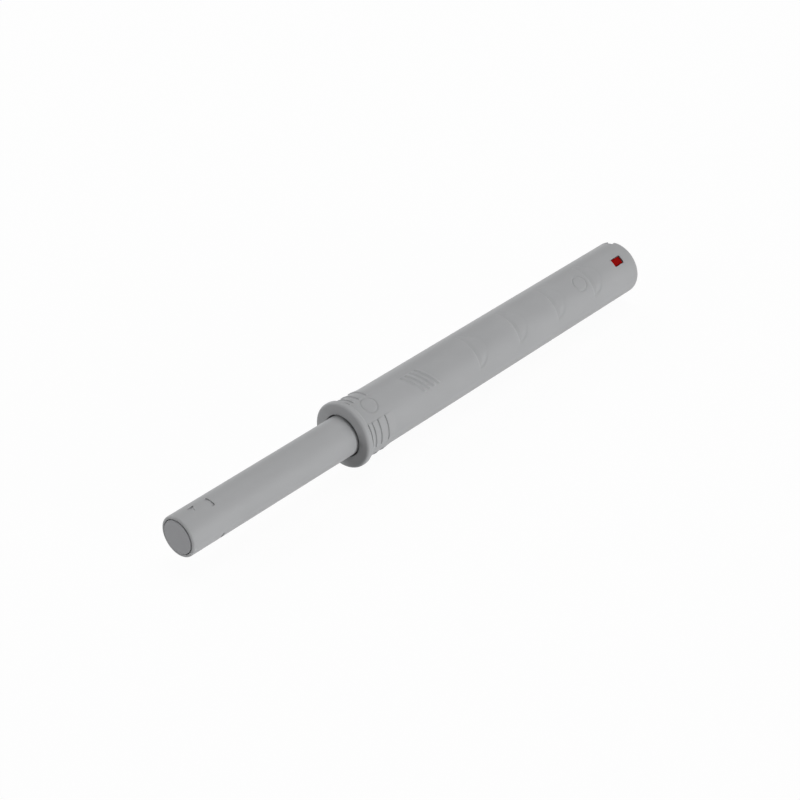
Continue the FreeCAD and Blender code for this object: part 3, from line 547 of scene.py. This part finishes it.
# %% Make the plunger
lip_centre = (CUP_RADIUS + LIP_ROUND, RIM + LIP_ROUND)
tip_centre = (PLUNGER_RADIUS - TIP_ROUND, RIM + TIP_ROUND)
tube_head = np.concatenate([
    [(STEM_HOLE, CUP_FLOOR), (CUP_RADIUS, CUP_FLOOR)],
    arc(lip_centre, LIP_ROUND, 180.0, 270.0, LIP_POINTS),
    arc(tip_centre, TIP_ROUND, -90.0, TIP_STOP, TIP_POINTS),
])
tube_tail = np.array([
    (NOSE_RADIUS, TUBE_END), (NOSE_RADIUS, NOSE_FRONT), (TUBE_BORE, NOSE_FRONT),
    (TUBE_BORE, WEB_BACK), (STEM_HOLE, WEB_BACK),
])
flat = np.ones((1, len(tube_columns)))
side_y, side_angle = np.meshgrid(tube_y, tube_columns, indexing="ij")
side_radius = PLUNGER_RADIUS - mark_depth(side_y, side_angle)
tube_radius = np.concatenate([tube_head[:, :1] * flat, side_radius, tube_tail[:, :1] * flat])
tube_along = np.concatenate([tube_head[:, 1:] * flat, side_y, tube_tail[:, 1:] * flat])
tube_faces = cell_faces(len(tube_radius), len(tube_columns), True).reshape(-1, 4)
plunger = make_mesh(
    "plunger_moulding",
    round_points(tube_radius, tube_along, tube_columns[None, :] * np.ones_like(tube_radius)),
    tube_faces.tolist(),
)
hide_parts("plunger_tube")
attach(plunger, "plunger")

# %% [markdown]
# ## The buffer
# A soft round buffer fills the plunger's end and meets the door. It stands a little in front of
# the rim, with a rounded edge and a thin gap round it. A cylinder with a bevel would do for the
# face, but not for the stem behind it, so one profile turned about the axis gives both.

# %% Make the buffer
BUFFER_RADIUS = 2.82
BUFFER_ROUND = 0.14
STEM_RADIUS = 1.6
BUFFER_FACE = buffer_low[1]
BUFFER_END = buffer_high[1]
buffer_corner = (BUFFER_RADIUS - BUFFER_ROUND, BUFFER_FACE + BUFFER_ROUND)
buffer_profile = np.concatenate([
    [(0.0, BUFFER_FACE), (BUFFER_RADIUS / 2, BUFFER_FACE)],
    arc(buffer_corner, BUFFER_ROUND, -90.0, 0.0),
    [(BUFFER_RADIUS, CUP_FLOOR), (STEM_RADIUS, CUP_FLOOR), (STEM_RADIUS, BUFFER_END)],
    [(0.0, BUFFER_END)],
])
end_buffer = turned_solid("buffer_moulding", buffer_profile)
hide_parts("end_buffer")
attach(end_buffer, "plunger")

# %% [markdown]
# ## The return spring
# A compression spring pushes the plunger out. Its first and last turns lie close together, and the
# turns between them are evenly spaced. A Screw modifier gives one pitch only, so the wire is a
# circle carried along a path whose pitch changes near both ends.

# %% Make the spring
WIRE_RADIUS = 0.3
COIL_RADIUS = 3.5
TURNS = 20
STEPS_PER_TURN = 40
WIRE_SIDES = 10
WIRE_SHARP = 60.0
CLOSED_PITCH = 0.62


def swept_wire(name, path, side, radius, sides):
    """A circle carried along a path: path + radius (cos s side + sin s (side x tangent))."""
    tangent = np.gradient(path, axis=0)
    tangent = tangent / np.linalg.norm(tangent, axis=1, keepdims=True)
    other = np.cross(side, tangent)
    other = other / np.linalg.norm(other, axis=1, keepdims=True)
    turn = np.linspace(0.0, 2 * math.pi, sides, endpoint=False)[None, :, None]
    ring = np.cos(turn) * side[:, None, :] + np.sin(turn) * other[:, None, :]
    points = (path[:, None, :] + radius * ring) * MM
    faces = cell_faces(len(path), sides, False).reshape(-1, 4).tolist()
    end = (len(path) - 1) * sides
    faces += [list(range(sides)), list(range(end + sides - 1, end - 1, -1))]
    return make_mesh(name, points, faces, WIRE_SHARP)


turns = np.linspace(0.0, TURNS, TURNS * STEPS_PER_TURN + 1)
first_y = spring_low[1] + WIRE_RADIUS
last_y = spring_high[1] - WIRE_RADIUS
knots = [first_y, first_y + CLOSED_PITCH, last_y - CLOSED_PITCH, last_y]
spring_y = np.interp(turns, [0.0, 1.0, TURNS - 1.0, TURNS], knots)
wind = 2 * math.pi * turns
outwards = np.stack([np.cos(wind), 0.0 * wind, -np.sin(wind)], axis=-1)
coil_path = COIL_RADIUS * outwards + np.stack([0.0 * wind, spring_y, 0.0 * wind], axis=-1)
spring = swept_wire("return_coil", coil_path, outwards, WIRE_RADIUS, WIRE_SIDES)
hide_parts("return_spring")
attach(spring, "housing")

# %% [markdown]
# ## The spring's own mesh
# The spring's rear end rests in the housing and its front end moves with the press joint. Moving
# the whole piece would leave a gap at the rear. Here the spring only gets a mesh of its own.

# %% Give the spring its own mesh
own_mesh(spring)

# %% [markdown]
# ## Finishes
# Sleeve and plunger are the same light grey moulding with a fine satin grain. A moulding is never
# one flat colour: it has slow changes of tone, and a grain that breaks up its shine. An image
# could carry both, but noise on Object coordinates needs no file, and it stays put when the piece
# moves. The grain is 0.15 mm, as on a tool that was spark eroded, and the tone changes over about
# 8 mm.

# %% Material helpers
NOISE_LOW = 0.3
NOISE_HIGH = 0.7
TONE_SIZE = 8.0
TONE_DETAIL = 1.0
GRAIN_DETAIL = 2.0
GRAIN_STRENGTH = 0.5
ROUGHNESS_SWING = 0.05


def new_material(name, colour, roughness, metallic=0.0):
    """A Principled material; returns it with its node tree and its shader."""
    material = bpy.data.materials.new(name)
    material.use_nodes = True
    tree = material.node_tree
    shader = tree.nodes["Principled BSDF"]
    shader.inputs["Base Color"].default_value = (*colour, 1.0)
    shader.inputs["Roughness"].default_value = roughness
    shader.inputs["Metallic"].default_value = metallic
    return material, tree, shader


def add_noise(tree, size_mm, detail):
    """Noise on Object coordinates, scaled by one over the size, so its blobs are that large."""
    place = tree.nodes.new("ShaderNodeTexCoord")
    noise = tree.nodes.new("ShaderNodeTexNoise")
    noise.inputs["Scale"].default_value = 1.0 / (size_mm * MM)
    noise.inputs["Detail"].default_value = detail
    tree.links.new(place.outputs["Object"], noise.inputs["Vector"])
    return noise.outputs["Fac"]


def vary(tree, amount, low, high, socket):
    """Drive a socket evenly from low to high as noise goes from NOISE_LOW to NOISE_HIGH."""
    spread = tree.nodes.new("ShaderNodeMapRange")
    spread.inputs["From Min"].default_value = NOISE_LOW
    spread.inputs["From Max"].default_value = NOISE_HIGH
    spread.inputs["To Min"].default_value = low
    spread.inputs["To Max"].default_value = high
    tree.links.new(amount, spread.inputs["Value"])
    tree.links.new(spread.outputs["Result"], socket)


def tone(tree, amount, colour, change, socket):
    """Mix between the colour times (1 - change) and the colour times (1 + change)."""
    ramp_node = tree.nodes.new("ShaderNodeValToRGB")
    dark, light = ramp_node.color_ramp.elements
    dark.position = NOISE_LOW
    light.position = NOISE_HIGH
    dark.color = (*(c * (1.0 - change) for c in colour), 1.0)
    light.color = (*(c * (1.0 + change) for c in colour), 1.0)
    tree.links.new(amount, ramp_node.inputs["Fac"])
    tree.links.new(ramp_node.outputs["Color"], socket)


def add_grain(tree, shader, amount, strength, depth_mm):
    """Bump of a real depth."""
    bump = tree.nodes.new("ShaderNodeBump")
    bump.inputs["Strength"].default_value = strength
    bump.inputs["Distance"].default_value = depth_mm * MM
    tree.links.new(amount, bump.inputs["Height"])
    tree.links.new(bump.outputs["Normal"], shader.inputs["Normal"])


def moulded(name, colour, roughness, gloss, grain_mm, grain_depth, change):
    """A moulding: slow tone, fine grain in the bump, and roughness that follows the grain."""
    material, tree, shader = new_material(name, colour, roughness)
    shader.inputs["Specular IOR Level"].default_value = gloss
    grain = add_noise(tree, grain_mm, GRAIN_DETAIL)
    slow = add_noise(tree, TONE_SIZE, TONE_DETAIL)
    tone(tree, slow, colour, change, shader.inputs["Base Color"])
    smooth, rough = roughness - ROUGHNESS_SWING, roughness + ROUGHNESS_SWING
    vary(tree, grain, smooth, rough, shader.inputs["Roughness"])
    add_grain(tree, shader, grain, GRAIN_STRENGTH, grain_depth)
    return material


def paint(piece, material):
    """Give a piece, or a carried-over node, one material."""
    piece.data.materials.clear()
    piece.data.materials.append(material)


# %% Make the mouldings' finishes
GREY = (0.385, 0.389, 0.396)
BUFFER_GREY = (0.368, 0.371, 0.383)
RED = (0.276, 0.0035, 0.0025)
NATURAL = (0.70, 0.69, 0.65)
RUBBER = (0.045, 0.045, 0.048)
# Name, colour, roughness, gloss, width of the grain and its depth in mm, change of tone.
MOULDINGS = (
    ("grey_moulding", GREY, 0.55, 0.25, 0.15, 0.008, 0.02),
    ("buffer_moulding", BUFFER_GREY, 0.65, 0.25, 0.12, 0.01, 0.02),
    ("red_moulding", RED, 0.5, 0.03, 0.15, 0.006, 0.04),
    ("natural_moulding", NATURAL, 0.45, 0.4, 0.2, 0.006, 0.02),
    ("stop_rubber", RUBBER, 0.75, 0.3, 0.1, 0.015, 0.05),
)
finishes = [moulded(*moulding) for moulding in MOULDINGS]
grey_plastic, buffer_plastic, red_plastic, pale_plastic, dark_rubber = finishes
print("finishes:", ", ".join(finish.name for finish in finishes))

# %% Make the wire's finish
STEEL = (0.55, 0.55, 0.56)
WIRE_ROUGHNESS = 0.3
WIRE_ROUGHNESS_SWING = 0.08
POLISH_SIZE = 0.2
POLISH_DETAIL = 3.0
STEEL_CHANGE = 0.06


def drawn_wire():
    """Steel wire: metal whose tone and roughness both follow one fine noise."""
    material, tree, shader = new_material("spring_wire", STEEL, WIRE_ROUGHNESS, 1.0)
    polish = add_noise(tree, POLISH_SIZE, POLISH_DETAIL)
    tone(tree, polish, STEEL, STEEL_CHANGE, shader.inputs["Base Color"])
    smooth, rough = WIRE_ROUGHNESS - WIRE_ROUGHNESS_SWING, WIRE_ROUGHNESS + WIRE_ROUGHNESS_SWING
    vary(tree, polish, smooth, rough, shader.inputs["Roughness"])
    return material


spring_wire = drawn_wire()
print("finish of the springs and the follower:", spring_wire.name)

# %% Paint the pieces
PAINTED = (
    (sleeve, grey_plastic),
    (plunger, grey_plastic),
    (end_buffer, buffer_plastic),
    (spring, spring_wire),
    (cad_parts["click_ring"], pale_plastic),
    (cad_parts["carriage"], pale_plastic),
    (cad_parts["latch_follower"], spring_wire),
    (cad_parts["follower_spring"], spring_wire),
    (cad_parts["stop_ring"], dark_rubber),
    (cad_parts["latch_carrier"], red_plastic),
)
for piece, finish in PAINTED:
    paint(piece, finish)
print("painted %d pieces" % len(PAINTED))

# %% [markdown]
# ## Floor and light
# A product picture on white has a big pale sheet below and soft light all round. A white world
# alone would do for the background, but the catch would float. This sheet shows as white to the
# camera, and it still takes most of its own shading for every other ray, so it bounces light up
# under the catch and keeps a faint shadow of it.

# %% Helper for the background
def seen_directly(tree):
    """The most of three: one for rays from the camera, in a gloss or through glass, else zero."""
    path = tree.nodes.new("ShaderNodeLightPath")
    most = tree.nodes.new("ShaderNodeMath")
    most.operation = "MAXIMUM"
    both = tree.nodes.new("ShaderNodeMath")
    both.operation = "MAXIMUM"
    tree.links.new(path.outputs["Is Glossy Ray"], most.inputs[0])
    tree.links.new(path.outputs["Is Transmission Ray"], most.inputs[1])
    tree.links.new(path.outputs["Is Camera Ray"], both.inputs[0])
    tree.links.new(most.outputs["Value"], both.inputs[1])
    return both.outputs["Value"]


# %% Floor
FLOOR_SIZE = 4.0
SHEET_COLOUR = (0.86, 0.86, 0.86)
SHEET_ROUGHNESS = 0.9
WHITE_SHARE = 0.96


def pale_sheet():
    """Matt white, mixed by WHITE_SHARE with plain white where the camera sees it."""
    material, tree, shader = new_material("pale_sheet", SHEET_COLOUR, SHEET_ROUGHNESS)
    glow = tree.nodes.new("ShaderNodeEmission")
    glow.inputs["Strength"].default_value = 1.0
    share = tree.nodes.new("ShaderNodeMath")
    share.operation = "MULTIPLY"
    share.inputs[1].default_value = WHITE_SHARE
    mix = tree.nodes.new("ShaderNodeMixShader")
    tree.links.new(seen_directly(tree), share.inputs[0])
    tree.links.new(share.outputs["Value"], mix.inputs["Fac"])
    tree.links.new(shader.outputs["BSDF"], mix.inputs[1])
    tree.links.new(glow.outputs["Emission"], mix.inputs[2])
    tree.links.new(mix.outputs["Shader"], tree.nodes["Material Output"].inputs["Surface"])
    return material


floor_z = -COLLAR_RADIUS * MM
corners = [(-FLOOR_SIZE, -FLOOR_SIZE, floor_z), (FLOOR_SIZE, -FLOOR_SIZE, floor_z)]
corners += [(FLOOR_SIZE, FLOOR_SIZE, floor_z), (-FLOOR_SIZE, FLOOR_SIZE, floor_z)]
floor_mesh = bpy.data.meshes.new("floor")
floor_mesh.from_pydata(corners, [], [[0, 1, 2, 3]])
floor = bpy.data.objects.new("floor", floor_mesh)
bpy.context.scene.collection.objects.link(floor)
paint(floor, pale_sheet())
print("floor at %.4f m" % floor_z)

# %% World
AMBIENT = 0.0
WHITE = (1.0, 1.0, 1.0, 1.0)
world = bpy.data.worlds.new("white_room")
bpy.context.scene.world = world
world.use_nodes = True
world_tree = world.node_tree
room = world_tree.nodes["Background"]
room.inputs["Color"].default_value = WHITE
room.inputs["Strength"].default_value = AMBIENT
backdrop = world_tree.nodes.new("ShaderNodeBackground")
backdrop.inputs["Color"].default_value = WHITE
backdrop.inputs["Strength"].default_value = 1.0
room_mix = world_tree.nodes.new("ShaderNodeMixShader")
world_output = world_tree.nodes["World Output"]
world_tree.links.new(seen_directly(world_tree), room_mix.inputs["Fac"])
world_tree.links.new(room.outputs["Background"], room_mix.inputs[1])
world_tree.links.new(backdrop.outputs["Background"], room_mix.inputs[2])
world_tree.links.new(room_mix.outputs["Shader"], world_output.inputs["Surface"])
print("light from the world %.1f, so all of it comes from the lamps" % AMBIENT)

# %% Lamps
# Name, place in metres, side of the square in metres, power in watts.
LAMPS = (
    ("top_lamp", (0.0, 0.8, 2.05), 1.6, 22.4),
    ("low_lamp", (1.93, 0.25, 0.25), 0.45, 24.0),
    ("left_lamp", (-1.7, 0.3, 1.2), 1.2, 15.4),
    ("front_lamp", (-1.1, -1.9, 0.8), 1.0, 17.7),
)
LAMP_AIM = (0.0, 0.01, 0.0)


def soft_lamp(name, place, size, power):
    """A square area lamp whose -Z points along the line from its place to LAMP_AIM."""
    light = bpy.data.lights.new(name, "AREA")
    light.shape = "SQUARE"
    light.size = size
    light.energy = power
    lamp = bpy.data.objects.new(name, light)
    bpy.context.scene.collection.objects.link(lamp)
    lamp.location = place
    lamp.rotation_euler = (Vector(LAMP_AIM) - Vector(place)).to_track_quat("-Z", "Y").to_euler()


for lamp_row in LAMPS:
    soft_lamp(*lamp_row)
print("lamps: %d, %.1f W in all" % (len(LAMPS), sum(power for *rest, power in LAMPS)))

# %% [markdown]
# ## Camera
# The photograph looks down on the catch from the plunger's side. A camera can be set by eye, but
# the outline would then be off by some pixels. So its place and lens were solved from the outline
# of the sleeve, the plunger and the collar, whose circles show the view's perspective.

# %% Camera
CAMERA_PLACE = (184.29, -197.93, 179.26)
CAMERA_AZIMUTH = 41.187
CAMERA_ELEVATION = 32.636
CAMERA_LENS = 91.87
SENSOR_WIDTH = 36.0
NEAREST_SEEN = 0.001
camera_data = bpy.data.cameras.new("photo_camera")
camera_data.lens = CAMERA_LENS
camera_data.sensor_width = SENSOR_WIDTH
camera_data.clip_start = NEAREST_SEEN
camera = bpy.data.objects.new("photo_camera", camera_data)
bpy.context.scene.collection.objects.link(camera)
camera.location = [value * MM for value in CAMERA_PLACE]
tilt = math.radians(90.0 - CAMERA_ELEVATION)
camera.rotation_euler = (tilt, 0.0, math.radians(CAMERA_AZIMUTH))
bpy.context.scene.camera = camera
bpy.context.scene.view_settings.view_transform = "Standard"
print("camera %.1f mm from the seat" % math.hypot(*CAMERA_PLACE))
